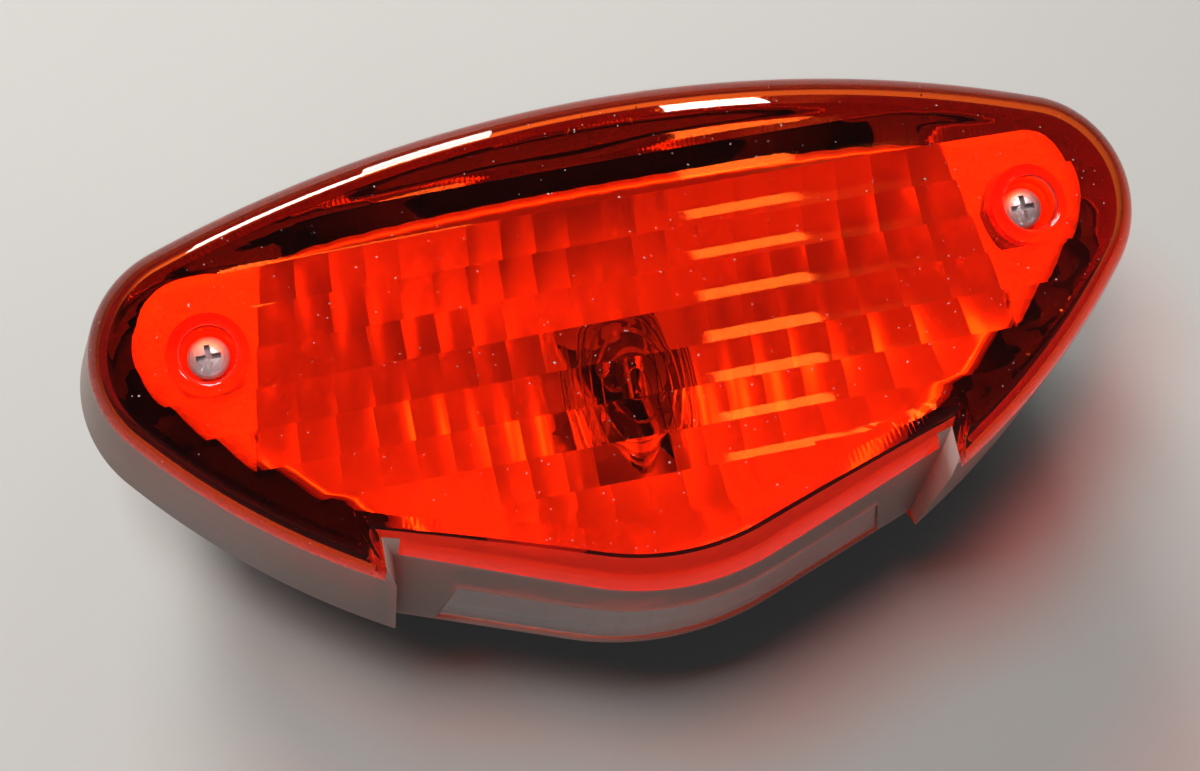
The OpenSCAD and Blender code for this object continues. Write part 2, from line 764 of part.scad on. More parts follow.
module terminals() {
    tail = 4.5;
    color([0.8, 0.65, 0.3]) blade_places() translate([-blade_t / 2, -blade_w / 2, back_z - tail])
        cube([blade_t, blade_w, tail + back_t]);
}

module earth_plate() {
    drop = 7;
    reach = holder_flange_d / 2 + 3;
    color([0.75, 0.75, 0.7]) difference() {
        at_bulb() translate([0, 0, foot_h - blade_t]) {
            cylinder(d = holder_flange_d, h = blade_t);
            translate([-blade_w / 2, 0, 0]) cube([blade_w, reach, blade_t]);
            translate([-blade_w / 2, reach - blade_t, -drop]) cube([blade_w, blade_t, drop + blade_t]);
        }
        at_bulb() cylinder(r = holder_r + shank_play, h = foot_h + over);
        rivet_places() cylinder(d = rivet_d, h = foot_h + over);
    }
}

module contact_spring() {
    r = cap_d / 2 - wire_d - head_room;
    color([0.7, 0.7, 0.7]) at_bulb() translate([0, 0, spring_z + wire_d / 2])
        spring_path(r, (spring_l - wire_d) / coils);
}

// Round wire swept along a helix
module spring_path(r, pitch) {
    steps = 16;
    sides = 8;
    n = coils * steps;
    points = [for (i = [0 : n]) for (k = [0 : sides - 1])
        let (a = 360 * i / steps, b = 360 * k / sides, q = r + wire_d / 2 * cos(b))
        [q * cos(a), q * sin(a), pitch * i / steps + wire_d / 2 * sin(b)]];
    side = [for (i = [0 : n - 1]) for (k = [0 : sides - 1])
        let (p = i * sides + k, q = i * sides + (k + 1) % sides)
        each [[p, q + sides, q], [p, p + sides, q + sides]]];
    ends = [[for (k = [0 : sides - 1]) k], [for (k = [sides - 1 : -1 : 0]) n * sides + k]];
    polyhedron(points, concat(side, ends), convexity = 8);
}

module contact_plate() {
    color([0.35, 0.22, 0.12]) difference() {
        at_bulb() translate([0, 0, plate_z]) cylinder(r = cap_d / 2 - 2 * cap_play, h = plate_t);
        blade_places() translate([0, 0, plate_z - over]) cylinder(d = stalk_d, h = plate_t + 2 * over);
    }
}

module contact_tips() {
    color([0.85, 0.7, 0.35]) blade_places() {
        translate([0, 0, plate_z + plate_t]) cylinder(d = tip_d, h = tip_h);
        translate([0, 0, plate_z - tip_h]) cylinder(d = stalk_d, h = plate_t + tip_h + e);
    }
}

module bulb_contacts() {
    color([0.75, 0.75, 0.75]) blade_places() translate([0, 0, contact_z])
        cylinder(d = tip_d - 0.2, h = contact_h);
}

module bulb_insulator() {
    color([0.05, 0.05, 0.06]) at_bulb() translate([0, 0, cap_z])
        cylinder(d1 = cap_d - 6 * cap_t, d2 = cap_d - 2.2 * cap_t, h = 4 * cap_t);
}

module bulb_cap() {
    foot = cap_z + cap_t;
    color([0.85, 0.7, 0.4]) at_bulb() difference() {
        translate([0, 0, foot]) cylinder(d = cap_d, h = cap_top - foot);
        translate([0, 0, cap_z]) cylinder(d = cap_d - 2 * cap_t, h = cap_top - cap_z + over);
        translate([0, 0, pin_z]) rotate([0, 90, 0]) cylinder(d = pin_d, h = cap_d);
        translate([0, 0, pin_z + pin_step]) rotate([0, -90, 0]) cylinder(d = pin_d, h = cap_d);
    }
}

module bulb_pins() {
    start = cap_d / 2 - cap_t;
    color([0.85, 0.7, 0.4]) at_bulb() {
        translate([start, 0, pin_z]) rotate([0, 90, 0]) cylinder(d = pin_d, h = cap_t + pin_out);
        translate([-start, 0, pin_z + pin_step]) rotate([0, -90, 0]) cylinder(d = pin_d, h = cap_t + pin_out);
    }
}

// Glass envelope, open at its foot where the stem closes it
module bulb_glass() {
    r = glass_d / 2;
    mid = glass_tip - r;
    color([0.95, 0.95, 0.95, 0.4]) at_bulb() rotate_extrude() polygon(concat(
        [[neck_r - glass_t, glass_foot], [neck_r, glass_foot], [neck_r, cap_top + over]],
        [for (a = [-50 : 10 : 90]) [r * cos(a), mid + r * sin(a)]],
        [for (a = [90 : -10 : -50]) [(r - glass_t) * cos(a), mid + (r - glass_t) * sin(a)]],
        [[neck_r - glass_t, cap_top + over]]));
}

// Foot with a flare, a tube and the pinch that holds the leads
module bulb_stem() {
    flare_r = neck_r - glass_t - 0.02;
    pinch_foot = stem_top - pinch_h;
    color([0.9, 0.9, 0.92, 0.5]) at_bulb() rotate_extrude() polygon([
        [0, glass_foot], [flare_r, glass_foot], [flare_r, glass_foot + glass_t],
        [stem_r, glass_foot + pinch_h], [stem_r, pinch_foot - stem_r], [pinch_r, pinch_foot],
        [pinch_r, stem_top], [0, stem_top]
    ]);
}

module bulb_leads() {
    color([0.6, 0.6, 0.6]) at_bulb() for (x = [0, tail_x]) for (side = [-1, 1])
        translate([x, side * lead_y, stem_top]) cylinder(r = lead_r, h = filament_z - stem_top + 2 * lead_r);
}

// Straight bar with the coil's outside size between two leads
module filament(x, r) {
    half = lead_y - lead_r;
    at_bulb() translate([x, half, filament_z]) rotate([90, 0, 0]) cylinder(r = r, h = 2 * half);
}

module stop_filament() {
    color([0.45, 0.45, 0.47]) filament(0, 0.5);
}

module tail_filament() {
    color([0.45, 0.45, 0.47]) filament(tail_x, 0.35);
}

lens();
plate_window();
lens_screws();
lens_seal();
tray();
fixing_spacers();
threaded_inserts();
reflector();
holder_shell();
holder_rivets();
holder_back();
terminals();
earth_plate();
contact_spring();
contact_plate();
contact_tips();
bulb_cap();
bulb_pins();
bulb_insulator();
bulb_contacts();
bulb_glass();
bulb_stem();
bulb_leads();
stop_filament();
tail_filament();
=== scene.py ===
import math

import bmesh
import bpy
import numpy as np
from mathutils import Matrix, Vector
from mathutils.geometry import delaunay_2d_cdt


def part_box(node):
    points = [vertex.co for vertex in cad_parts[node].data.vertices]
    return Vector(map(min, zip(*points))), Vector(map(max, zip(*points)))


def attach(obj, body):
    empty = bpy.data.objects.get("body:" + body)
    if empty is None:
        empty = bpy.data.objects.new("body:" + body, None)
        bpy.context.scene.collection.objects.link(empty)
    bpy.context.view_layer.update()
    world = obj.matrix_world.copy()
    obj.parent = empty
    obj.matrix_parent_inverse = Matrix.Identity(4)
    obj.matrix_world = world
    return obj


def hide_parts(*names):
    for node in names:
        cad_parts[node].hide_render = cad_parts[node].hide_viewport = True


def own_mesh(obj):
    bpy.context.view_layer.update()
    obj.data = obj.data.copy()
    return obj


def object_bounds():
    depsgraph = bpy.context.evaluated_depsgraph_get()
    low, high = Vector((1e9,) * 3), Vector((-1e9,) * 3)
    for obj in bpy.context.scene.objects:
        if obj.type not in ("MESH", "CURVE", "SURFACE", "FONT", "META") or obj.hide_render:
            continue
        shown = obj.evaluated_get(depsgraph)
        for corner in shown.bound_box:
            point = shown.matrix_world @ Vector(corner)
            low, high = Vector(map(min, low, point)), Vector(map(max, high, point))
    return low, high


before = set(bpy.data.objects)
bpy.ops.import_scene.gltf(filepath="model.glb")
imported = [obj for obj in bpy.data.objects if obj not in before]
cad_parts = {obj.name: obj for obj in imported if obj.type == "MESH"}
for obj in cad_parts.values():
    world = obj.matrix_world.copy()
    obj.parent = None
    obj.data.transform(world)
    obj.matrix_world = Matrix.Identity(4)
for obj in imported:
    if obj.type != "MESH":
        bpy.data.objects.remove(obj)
cad_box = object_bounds()

# All sizes below are in millimetres; MM turns them into Blender's metres
MM = 0.001


def cad_mm(node):
    low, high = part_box(node)
    return np.array(low) / MM, np.array(high) / MM


lens_low, lens_high = cad_mm("lens")
reflector_low, reflector_high = cad_mm("reflector")
screw_low, screw_high = cad_mm("lens_screws")
glass_low, glass_high = cad_mm("bulb_glass")

# Cover: the sizes that its outline, skirt and front are worked out from
SKIRT_Z = lens_low[2]
SKIRT_H = 42.0
LENS_H = SKIRT_Z + SKIRT_H
LEAN_TOP, LEAN_END, LEAN_FLANK, LEAN_BULGE = 2.5, 4.0, 20.0, 9.8
HALF_W = lens_high[0] - LEAN_END
TOP_RISE = lens_high[1] - LEAN_TOP
TOP_R, END_R, FLANK_R, BULGE_R = 274.0, 20.3, 140.0, 48.0
BULGE_DROP = -lens_low[1] - LEAN_BULGE
NOTCH_X, NOTCH_SLANT, BULGE_SLOPE = 51.5, 0.4, 20.0
END_TURN = 40.0
LENS_WALL, FRONT_T = 2.5, 2.7
BOW_X, BOW_Y, FRONT_CY = 600.0, 900.0, -5.0
RIM_ROUND, BULGE_ROUND, BULGE_ROUND_END, LEAST_ROUND = 5.2, 9.5, 6.0, 0.8
# A narrow strip inside the front's rim, which keeps the shading of the shoulder off the front
RIM_STRIP = 0.5

# Screw wells: bore and tube, then the head's seat and the shank's hole below
HEAD_D, HEAD_ROOM = 7.7, 3.2
WELL_X = screw_high[0] - HEAD_D / 2
WELL_Y = (screw_low[1] + screw_high[1]) / 2
WELL_R, WELL_TUBE_R, WELL_LIP = 5.2, 7.5, 0.9
SEAT_Z, LAND_Z = LENS_H - 13.0, LENS_H - 15.8
HEAD_HOLE_R, SHANK_HOLE_R, HEAD_TOP = 4.45, 2.4, SEAT_Z + HEAD_ROOM

# Optics of the cover: flutes across the inside of the front, ribs down the inside of the skirt
FLUTE_PITCH, FLUTE_SAG, FLUTE_PHASE, FLUTE_FADE = 7.2, 0.4, 4.7, 3.0
RIB_PITCH, RIB_DEPTH, RIB_POINTS = 1.0, 0.5, 4

# Places of the points inside a flat or bowed patch, and how far they keep from its edges
FRONT_XS, FRONT_YS, FRONT_GAP = np.arange(-96, 96.1, 3.0), np.arange(-50, 40, 3.0), 1.2
FLUTED_XS, FLUTE_ROWS, LAND_YS, PATCH_GAP = np.arange(-94, 94.1, 2.5), 8, np.arange(-30, 24, 3.0), 0.8
LAND_XS = np.arange(-90, 90.1, 3.0)

# Steps along half of the outline, each times FINE
TOP_STEPS, END_STEPS, TURN_STEPS, FLANK_STEPS, BULGE_STEPS, FINE = 16, 10, 5, 6, 14, 4
# How many points before a notch may fold over it when the outline is inset
FOLD_REACH = 24


def deg(a):
    return math.radians(a)


def circle_points(c, r, start, stop, n, closed=False):
    angles = [deg(start + (stop - start) * i / n) for i in range(n + (1 if closed else 0))]
    return [(c[0] + r * math.cos(a), c[1] + r * math.sin(a)) for a in angles]


def bulge_line(x, drop, r):
    s = deg(BULGE_SLOPE)
    if abs(x) < r * math.sin(s):
        return -drop + r - math.sqrt(r * r - x * x)
    return -drop + r - r * math.cos(s) + (abs(x) - r * math.sin(s)) * math.tan(s)


def outline(grow):
    """The cover's outline, clockwise from the middle of the top, grown by a dict of amounts."""
    hw, ty, tr = HALF_W + grow["end"], TOP_RISE + grow["top"], TOP_R + grow["top"]
    er, fr = END_R + grow["end"], FLANK_R + grow["flank"]
    drop, br, notch = BULGE_DROP + grow["bulge"], BULGE_R + grow["bulge"], NOTCH_X + grow["notch"]
    a1 = math.degrees(math.asin((hw - er) / (tr - er)))
    c1 = (0.0, ty - tr)
    c2 = (hw - er, ty - tr + (tr - er) * math.cos(deg(a1)))
    c3 = (c2[0] - (fr - er) * math.cos(deg(END_TURN)), c2[1] + (fr - er) * math.sin(deg(END_TURN)))
    stop = math.degrees(math.acos((notch - c3[0]) / fr))
    half = circle_points(c1, tr, 90, 90 - a1, TOP_STEPS * FINE)
    half += circle_points(c2, er, 90 - a1, 0, END_STEPS * FINE)
    half += circle_points(c2, er, 0, -END_TURN, TURN_STEPS * FINE)
    half += circle_points(c3, fr, -END_TURN, -stop, FLANK_STEPS * FINE, closed=True)
    n = BULGE_STEPS * FINE
    xs = [(notch - NOTCH_SLANT) * (1 - i / n) for i in range(n + 1)]
    half += [(x, bulge_line(x, drop, br)) for x in xs]
    left = [(-x, y) for x, y in half[1:-1]]
    return np.array(half + left[::-1])


FRONT_RING = outline({"end": 0, "top": 0, "flank": 0, "bulge": 0, "notch": 0})
BACK_RING = outline({"end": LEAN_END, "top": LEAN_TOP, "flank": LEAN_FLANK, "bulge": LEAN_BULGE, "notch": 0})
BULGE_FROM = (TOP_STEPS + END_STEPS + TURN_STEPS + FLANK_STEPS) * FINE + 1


def outward(ring):
    """The mitred way out at each point of a clockwise ring."""
    before, after = ring - np.roll(ring, 1, axis=0), np.roll(ring, -1, axis=0) - ring
    a = np.stack([-before[:, 1], before[:, 0]], 1) / np.linalg.norm(before, axis=1)[:, None]
    b = np.stack([-after[:, 1], after[:, 0]], 1) / np.linalg.norm(after, axis=1)[:, None]
    return (a + b) / (1 + np.sum(a * b, axis=1))[:, None]


FRONT_OUT, BACK_OUT = outward(FRONT_RING), outward(BACK_RING)


def front_z(p):
    p = np.asarray(p)
    return LENS_H - p[..., 0] ** 2 / (2 * BOW_X) - (p[..., 1] - FRONT_CY) ** 2 / (2 * BOW_Y)


def shoulder_radii():
    """The shoulder's radius at each point of the outline; it is broad along the bulge."""
    n = len(FRONT_RING)
    half = n // 2
    radii = np.full(n, RIM_ROUND)
    for i in range(n):
        j = i if i <= half else n - i
        if j >= BULGE_FROM:
            radii[i] = BULGE_ROUND - (BULGE_ROUND - BULGE_ROUND_END) * (FRONT_RING[j, 0] / NOTCH_X) ** 2
    return radii


SHOULDER = shoulder_radii()


def unfold(p):
    """Gathers the points that an inset carries past the flank's corner at a notch into that corner."""
    p = p.copy()
    n = len(p)
    for side, corner in ((1, BULGE_FROM - 1), (-1, n - BULGE_FROM + 1)):
        for k in range(1, FOLD_REACH):
            i = corner - side * k
            if side * p[i, 0] < side * p[corner, 0]:
                p[i] = p[corner]
    return p


def wall_points(z, inset):
    top = front_z(FRONT_RING)
    t = ((top - z) / (top - SKIRT_Z))[:, None]
    inset = np.broadcast_to(inset, (len(FRONT_RING),))[:, None]
    return unfold((FRONT_RING - FRONT_OUT * inset) * (1 - t) + (BACK_RING - BACK_OUT * inset) * t)


def shoulder_ring(turn, inset, sunk):
    """The ring that lies turn degrees round the shoulder, inset from the skin and sunk below the front."""
    r = np.maximum(SHOULDER - inset, LEAST_ROUND)
    top = front_z(FRONT_RING - FRONT_OUT * (inset + r)[:, None]) - sunk
    z = top - r * (1 - math.sin(deg(turn)))
    p = wall_points(z, inset + r * (1 - math.cos(deg(turn))))
    if turn == 90:
        z = front_z(p) - sunk
    return np.column_stack([p, z])


def back_ring(inset):
    p = wall_points(SKIRT_Z, inset)
    return np.column_stack([p, np.full(len(p), SKIRT_Z)])


def inside(points, ring):
    """True for each point that lies inside a closed ring."""
    x, y = points[:, 0], points[:, 1]
    hit = np.zeros(len(points), bool)
    for (x0, y0), (x1, y1) in zip(ring, np.roll(ring, -1, axis=0)):
        crosses = (y0 > y) != (y1 > y)
        if crosses.any():
            hit ^= crosses & (x < (x1 - x0) * (y - y0) / (y1 - y0 + 1e-12) + x0)
    return hit


def edge_distance(points, ring):
    ring = ring[::2]
    best = np.full(len(points), 1e9)
    for a, b in zip(ring, np.roll(ring, -1, axis=0)):
        d = b - a
        t = np.clip(((points - a) @ d) / (d @ d), 0, 1)
        best = np.minimum(best, np.hypot(*(points - a - t[:, None] * d).T))
    return best


def flute(points, ring):
    """How far the flutes stand in from the inside of the front."""
    t = (points[:, 1] - FLUTE_PHASE) / FLUTE_PITCH
    t = 2 * (t - np.floor(t)) - 1
    fade = np.clip(edge_distance(points, ring) / FLUTE_FADE, 0, 1)
    return FLUTE_SAG * (1 - t * t) * fade * fade * (3 - 2 * fade)


class Builder:
    """Collects rings and patches of points in millimetres and makes one closed mesh of them."""

    def __init__(self):
        self.points, self.faces, self.slots = [], [], []

    def add(self, pts):
        start = sum(len(p) for p in self.points)
        self.points.append(np.asarray(pts, float))
        return list(range(start, start + len(pts)))

    def strip(self, a, b, slot=0, closed=True):
        n = len(a)
        for i in range(n if closed else n - 1):
            j = (i + 1) % n
            self.faces.append((a[i], a[j], b[j], b[i]))
            self.slots.append(slot if isinstance(slot, int) else slot[i])

    def fan(self, tris, ids, slot=0):
        for t in tris:
            self.faces.append(tuple(ids[k] for k in t))
            self.slots.append(slot)

    def caps(self, first, last):
        self.faces += [tuple(first[::-1]), tuple(last)]
        self.slots += [0, 0]

    def mesh(self, name, sharp=30.0):
        mesh = bpy.data.meshes.new(name)
        mesh.from_pydata((np.concatenate(self.points) * MM).tolist(), [], self.faces)
        mesh.polygons.foreach_set("material_index", self.slots)
        work = bmesh.new()
        work.from_mesh(mesh)
        bmesh.ops.remove_doubles(work, verts=work.verts, dist=1e-7)
        bmesh.ops.dissolve_degenerate(work, edges=work.edges, dist=1e-8)
        bmesh.ops.recalc_face_normals(work, faces=work.faces)
        work.to_mesh(mesh)
        work.free()
        mesh.shade_smooth()
        mesh.set_sharp_from_angle(angle=deg(sharp))
        obj = bpy.data.objects.new(name, mesh)
        bpy.context.scene.collection.objects.link(obj)
        return obj


def patch(ring, holes, spots):
    """Triangles that fill a ring around its holes, through the given inner spots."""
    loops = [ring] + holes
    verts, edges, start = [], [], 0
    for loop in loops:
        verts += [Vector(p) for p in loop]
        edges += [(start + i, start + (i + 1) % len(loop)) for i in range(len(loop))]
        start += len(loop)
    verts += [Vector(p) for p in spots]
    out = delaunay_2d_cdt(verts, edges, [], 0, 1e-7)
    points = np.array([tuple(v) for v in out[0]])
    tris = [tuple(f) for f in out[2]]
    mid = np.array([points[list(t)].mean(axis=0) for t in tris])
    keep = inside(mid, np.asarray(ring))
    for hole in holes:
        keep &= ~inside(mid, np.asarray(hole))
    return points, [t for t, k in zip(tris, keep) if k]


def grid_spots(ring, holes, xs, ys, gap):
    x, y = np.meshgrid(xs, ys)
    spots = np.column_stack([x.ravel(), y.ravel()])
    spots = spots[inside(spots, ring)]
    spots = spots[edge_distance(spots, ring) > gap]
    for hole in holes:
        mid = hole.mean(axis=0)
        spots = spots[np.hypot(*(spots - mid).T) > np.hypot(*(hole[0] - mid)) + gap]
    return spots


def well_circle(side, r, n=64):
    turns = [2 * math.pi * i / n for i in range(n)]
    return np.array([(side * WELL_X + r * math.cos(a), WELL_Y + r * math.sin(a)) for a in turns])


def resampled(ring, count):
    """The same closed line of points in space, with evenly spaced points."""
    closed = np.vstack([ring, ring[:1]])
    steps = np.concatenate([[0], np.cumsum(np.linalg.norm(np.diff(closed[:, :2], axis=0), axis=1))])
    at = np.linspace(0, steps[-1], count, endpoint=False)
    return np.column_stack([np.interp(at, steps, closed[:, k]) for k in range(closed.shape[1])])


LENS_SKIRT, LENS_FRONT, LENS_INNER, LENS_CHIN, LENS_RIB = 0, 1, 2, 3, 4


def outer_skin(b):
    """Skirt, shoulder and front as seen from outside; returns the skirt's back edge."""
    rows = 8
    foot = back_ring(0)
    top_of_wall = shoulder_ring(0, 0, 0)
    rings = [foot] + [foot * (1 - k / rows) + top_of_wall * (k / rows) for k in range(1, rows)]
    rings += [shoulder_ring(a, 0, 0) for a in (0, 11, 22, 33, 45, 57, 68, 79, 90)]
    ids = [b.add(r) for r in rings]
    n = len(FRONT_RING)
    # The satin of the skirt ends at the shoulder, and a little higher in the notches
    gloss_from = [rows + 1] * n
    for i in range(BULGE_FROM - 2, BULGE_FROM + 1):
        gloss_from[i] = gloss_from[n - 1 - i] = rows + 4
    on_bulge = [BULGE_FROM <= i < n - BULGE_FROM for i in range(n)]
    for k in range(len(ids) - 1):
        glossy = [LENS_CHIN if chin and k < rows + 5 else LENS_FRONT for chin in on_bulge]
        b.strip(ids[k], ids[k + 1], [glossy[i] if k >= gloss_from[i] else LENS_SKIRT for i in range(n)])

    mouths = [well_circle(s, WELL_R + WELL_LIP) for s in (-1, 1)]
    rim = unfold(rings[-1][:, :2] - FRONT_OUT * RIM_STRIP)
    b.strip(ids[-1], b.add(np.column_stack([rim, front_z(rim)])), LENS_FRONT)
    spots = grid_spots(rim, mouths, FRONT_XS, FRONT_YS, FRONT_GAP)
    points, tris = patch(rim, mouths, spots)
    b.fan(tris, b.add(np.column_stack([points, front_z(points)])), LENS_FRONT)
    return foot


def inner_wall(b):
    """The ribbed wall and its small shoulder; returns the wall's back edge and the edge of the fluted front."""
    perimeter = np.linalg.norm(np.diff(BACK_RING, axis=0), axis=1).sum()
    count = int(perimeter / RIB_PITCH) * RIB_POINTS
    wave = 0.5 - 0.5 * np.cos(np.arange(count) * 2 * math.pi / RIB_POINTS)

    def ribbed(ring, share):
        r = resampled(ring, count)
        out = outward(r[:, :2])
        out /= np.maximum(np.linalg.norm(out, axis=1), 1.0)[:, None]
        # No ribs on the bulge's wall, where the clear window sits
        plain_wall = (np.abs(r[:, 0]) < NOTCH_X + 3) & (r[:, 1] < 0)
        r[:, :2] += out * (wave * RIB_DEPTH * share * ~plain_wall)[:, None]
        return r

    base = back_ring(LENS_WALL)
    top = shoulder_ring(0, LENS_WALL, FRONT_T)
    # The ribs run out over the first twentieth of the wall
    rings = [resampled(base, count)]
    rings += [ribbed(base * (1 - t) + top * t, min(1.0, t * 20)) for t in (0.02, 0.5, 0.97)]
    rings += [resampled(shoulder_ring(a, LENS_WALL, FRONT_T), count) for a in (0, 30, 60, 90)]
    ids = [b.add(r) for r in rings]
    for k in range(len(ids) - 1):
        b.strip(ids[k], ids[k + 1], LENS_RIB if k < 3 else LENS_INNER)
    return rings[0], rings[-1][:, :2]


def fluted_z(points, edge):
    return front_z(points) - FRONT_T - flute(points, edge)


def fluted_front(b, edge):
    """The inside of the front, with rows of points along the flutes."""
    tubes = [well_circle(s, WELL_TUBE_R) for s in (-1, 1)]
    ys = [FLUTE_PHASE + FLUTE_PITCH * (k + np.arange(FLUTE_ROWS) / FLUTE_ROWS) for k in range(-8, 8)]
    spots = grid_spots(edge, tubes, FLUTED_XS, np.concatenate(ys), PATCH_GAP)
    points, tris = patch(edge, tubes, spots)
    b.fan(tris, b.add(np.column_stack([points, fluted_z(points, edge)])), LENS_INNER)


def screw_well(b, side, edge):
    """A rounded mouth, the bore, the head's seat, the shank's hole and the outside of the tube."""
    rings = []
    for a in range(0, 91, 15):
        c = well_circle(side, WELL_R + WELL_LIP * (1 - math.sin(deg(a))))
        rings.append(np.column_stack([c, front_z(c) - WELL_LIP * (1 - math.cos(deg(a)))]))
    lip_rings = len(rings)
    for r, z in ((WELL_R, HEAD_TOP), (HEAD_HOLE_R, HEAD_TOP), (HEAD_HOLE_R, SEAT_Z), (SHANK_HOLE_R, SEAT_Z),
                 (SHANK_HOLE_R, LAND_Z), (WELL_TUBE_R, LAND_Z)):
        c = well_circle(side, r)
        rings.append(np.column_stack([c, np.full(len(c), z)]))
    c = well_circle(side, WELL_TUBE_R)
    rings.append(np.column_stack([c, fluted_z(c, edge)]))
    ids = [b.add(r) for r in rings]
    for k in range(len(ids) - 1):
        b.strip(ids[k], ids[k + 1], LENS_FRONT if k < lip_rings else LENS_INNER)


def make_lens():
    b = Builder()
    foot = outer_skin(b)
    inner_foot, edge = inner_wall(b)
    bridge(b, b.add(foot), foot, b.add(inner_foot), inner_foot, LENS_SKIRT)
    fluted_front(b, edge)
    for side in (-1, 1):
        screw_well(b, side, edge)
    lens = b.mesh("lens_cover", sharp=20)
    cutter = make_window_cutter()
    cut = lens.modifiers.new("window", "BOOLEAN")
    cut.operation, cut.solver, cut.object = "DIFFERENCE", "EXACT", cutter
    bake(lens)
    bpy.data.objects.remove(cutter)
    return lens


def bake(obj):
    """Turns an object's modifiers into its mesh."""
    bpy.context.view_layer.update()
    done = bpy.data.meshes.new_from_object(obj.evaluated_get(bpy.context.evaluated_depsgraph_get()))
    obj.modifiers.clear()
    obj.data = done


def bulge_wall(x, z, inset):
    """Where the bulge's wall stands at a place along it and a height."""
    y0 = bulge_line(x, BULGE_DROP, BULGE_R)
    y1 = bulge_line(x, BULGE_DROP + LEAN_BULGE, BULGE_R + LEAN_BULGE)
    top = float(front_z(np.array([x, y0])))
    t = (top - z) / (top - SKIRT_Z)
    return y0 * (1 - t) + y1 * t + inset


# Opening for the clear window, cut from outside the skirt through to the inside of its wall
WINDOW_X, WINDOW_SLANT, WINDOW_TOP, WINDOW_LOW = 40.0, 3.5, LENS_H - 21.0, SKIRT_Z + 1.1
WINDOW_PLAY, CUT_FROM, CUT_TO = 0.02, -2.0, LENS_WALL + 3.0


def make_window_cutter():
    b = Builder()
    rows = []
    n = 48
    for i in range(n + 1):
        u = 2 * i / n - 1
        xt, xb = (WINDOW_X + WINDOW_PLAY) * u, (WINDOW_X + WINDOW_SLANT + WINDOW_PLAY) * u
        low, high = WINDOW_LOW - WINDOW_PLAY, WINDOW_TOP + WINDOW_PLAY
        rows.append([(xb, bulge_wall(xb, low, CUT_FROM), low), (xt, bulge_wall(xt, high, CUT_FROM), high),
                     (xt, bulge_wall(xt, high, CUT_TO), high), (xb, bulge_wall(xb, low, CUT_TO), low)])
    ids = [b.add(r) for r in rows]
    for k in range(n):
        b.strip(ids[k], ids[k + 1])
    b.caps(ids[0], ids[-1])
    return b.mesh("window_cut")


def bridge(b, ids_a, ring_a, ids_b, ring_b, slot):
    """Flat band between two closed rings of different counts that run the same way."""
    na, nb = len(ids_a), len(ids_b)

    def shares(ring):
        steps = np.concatenate([[0], np.cumsum(np.linalg.norm(np.diff(ring[:, :2], axis=0), axis=1))])
        return steps / (steps[-1] + np.linalg.norm(ring[0] - ring[-1]))

    la, lb = shares(ring_a), shares(ring_b)
    i = j = 0
    while i < na or j < nb:
        next_a = la[i + 1] if i + 1 < na else (1.0 if i < na else 9.0)
        next_b = lb[j + 1] if j + 1 < nb else (1.0 if j < nb else 9.0)
        if next_a <= next_b:
            b.faces.append((ids_a[i % na], ids_a[(i + 1) % na], ids_b[j % nb]))
            i += 1
        else:
            b.faces.append((ids_a[i % na], ids_b[(j + 1) % nb], ids_b[j % nb]))
            j += 1
        b.slots.append(slot)


# Reflector: a scalloped dish between two flat lands
REF_T, COLUMNS, SCALLOP, SCALLOP_FADE = 1.7, 20, 0.9, 3
REF_TOP_R, REF_END_R, REF_FLANK_IN = 1200.0, 13.0, 8.0
# The dish's lower edge lies above the CAD's, where the photograph shows the dark gap along the bulge
LOW_RAISE, CORNER_RAISE, LOW_CURVE = 2.4, 1.2, 1.7
# The sheet is a little thinner than the CAD's, lies a little below its top and clears the bulb's glass
SHEET_SPARE, TOP_SPARE, GLASS_ROOM = 0.25, 0.02, 1.6
# About the middle of a land, round which the points of its outline are put in order
LAND_MID = (74.0, 2.0)
REF_HW, REF_HIGH = reflector_high[0], reflector_high[1]
REF_DROP = -reflector_low[1]
DISH_X, DISH_FAN, DISH_DEPTH = 64.0, 7.5, reflector_high[2] - reflector_low[2] - REF_T
DISH_TOP = reflector_high[2] - TOP_SPARE
DISH_CURVE_X, DISH_CURVE_Y = 2.4, 2.6
BULB = (glass_low + glass_high) / 2
GLASS_R = (glass_high[0] - glass_low[0]) / 2


def ref_top(x):
    return REF_HIGH - x * x / (2 * REF_TOP_R)


